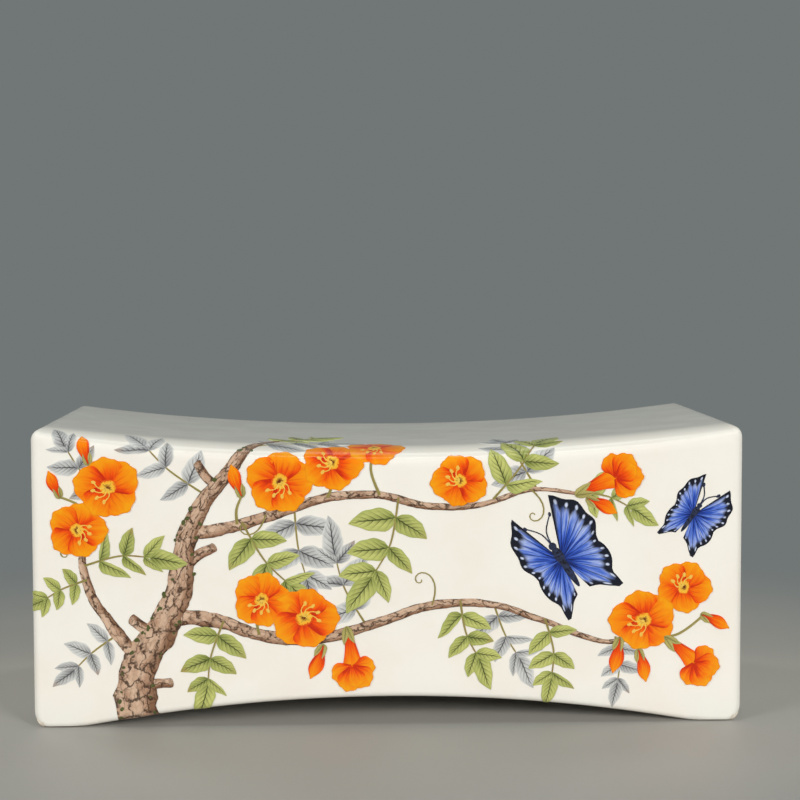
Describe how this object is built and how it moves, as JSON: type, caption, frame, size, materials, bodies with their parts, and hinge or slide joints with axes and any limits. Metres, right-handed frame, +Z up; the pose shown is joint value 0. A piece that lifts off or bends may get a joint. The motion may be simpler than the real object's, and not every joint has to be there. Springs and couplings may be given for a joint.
{
  "type": "ceramic pillow",
  "caption": "Hollow slab-built porcelain pillow: a rectangular box with a dished headrest on top, mitred walls and an arched base that stands on flat feet.",
  "frame": {"origin": "middle of the footprint, on the surface that the feet stand on", "axes": "+X along the length to the right as seen from the front, +Y from front to back, +Z up"},
  "size_m": [0.3, 0.145, 0.1263],
  "materials": {
    "glazed_porcelain": "warm white clear glaze over porcelain, glossy, faintly mottled, bare biscuit under the feet",
    "biscuit_porcelain": "unglazed fired porcelain, matt, off white",
    "orange_enamel": "overglaze enamel, orange shading to red, glossy, slightly raised",
    "leaf_enamel": "overglaze enamel, yellow green with dark veins, glossy, slightly raised",
    "ink_enamel": "overglaze enamel, ink grey to black, glossy, slightly raised",
    "bark_enamel": "overglaze enamel, brown with dark cracks, glossy, slightly raised",
    "blue_enamel": "overglaze enamel, cobalt blue with black, glossy, slightly raised"
  },
  "bodies": {
    "root": {"headrest_slab": "glazed_porcelain", "base_slab": "glazed_porcelain", "front_slab": "glazed_porcelain", "back_slab": "glazed_porcelain", "left_end_slab": "glazed_porcelain", "right_end_slab": "glazed_porcelain", "headrest_front_coil": "biscuit_porcelain", "headrest_back_coil": "biscuit_porcelain", "headrest_left_coil": "biscuit_porcelain", "headrest_right_coil": "biscuit_porcelain", "base_front_coil": "biscuit_porcelain", "base_back_coil": "biscuit_porcelain", "base_left_coil": "biscuit_porcelain", "base_right_coil": "biscuit_porcelain", "front_left_coil": "biscuit_porcelain", "front_right_coil": "biscuit_porcelain", "back_left_coil": "biscuit_porcelain", "back_right_coil": "biscuit_porcelain"}
  },
  "joints": []
}
